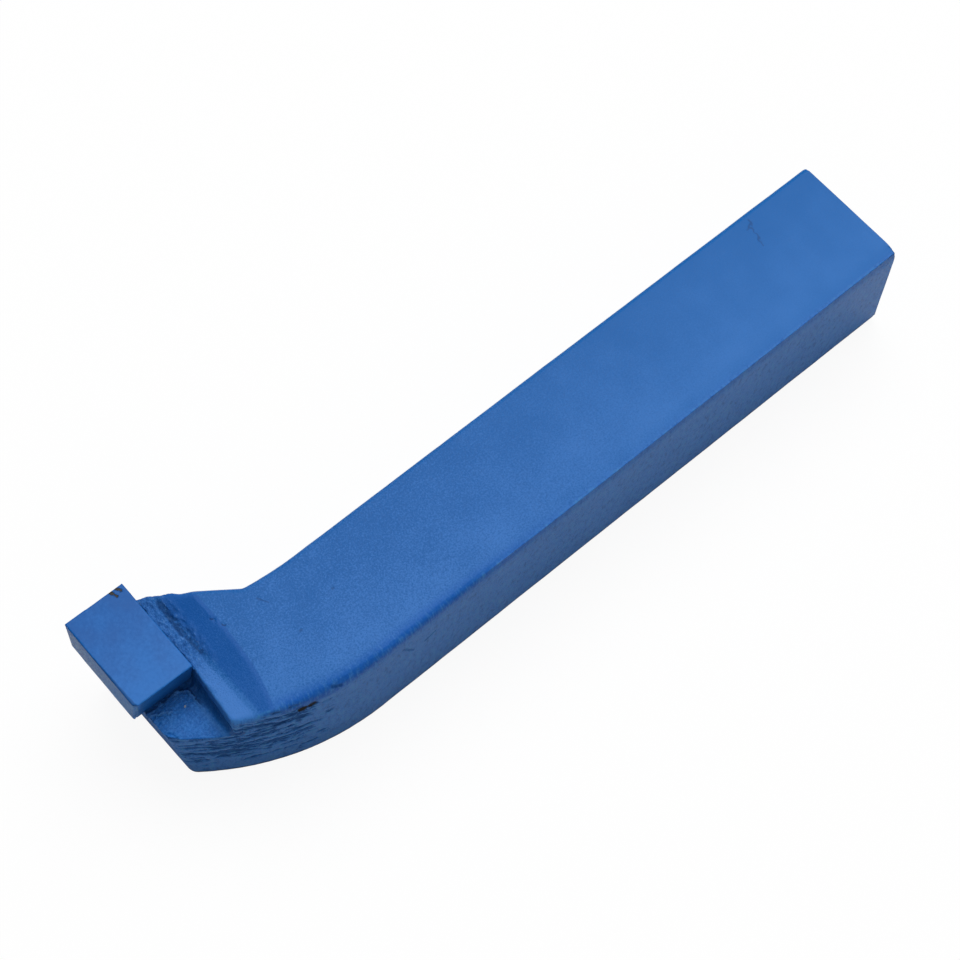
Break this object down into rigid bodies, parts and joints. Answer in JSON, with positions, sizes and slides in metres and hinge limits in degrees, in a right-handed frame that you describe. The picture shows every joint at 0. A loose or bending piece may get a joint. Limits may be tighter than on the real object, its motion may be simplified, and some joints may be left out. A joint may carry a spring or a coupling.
{
  "type": "brazed carbide lathe tool",
  "caption": "Bent-head turning tool: a square steel shank whose head turns to one side, with a carbide tip brazed into a milled seat, painted all over.",
  "frame": {"origin": "centre of the shank's base face, midway along its straight part", "axes": "+X towards the sawn butt end, +Y the side to which the head bends, +Z from the base to the top face that is level with the cutting edge"},
  "size_m": [0.1321, 0.0319, 0.02],
  "materials": {
    "shank_paint": "sprayed blue paint with a fine orange peel over forged steel, satin",
    "tip_paint": "the same blue paint, smoother over ground carbide, satin",
    "braze_paint": "the same blue paint, pooled over rippled filler"
  },
  "bodies": {
    "root": {"shank": "shank_paint", "carbide_tip": "tip_paint", "braze_layer": "braze_paint"}
  },
  "joints": []
}
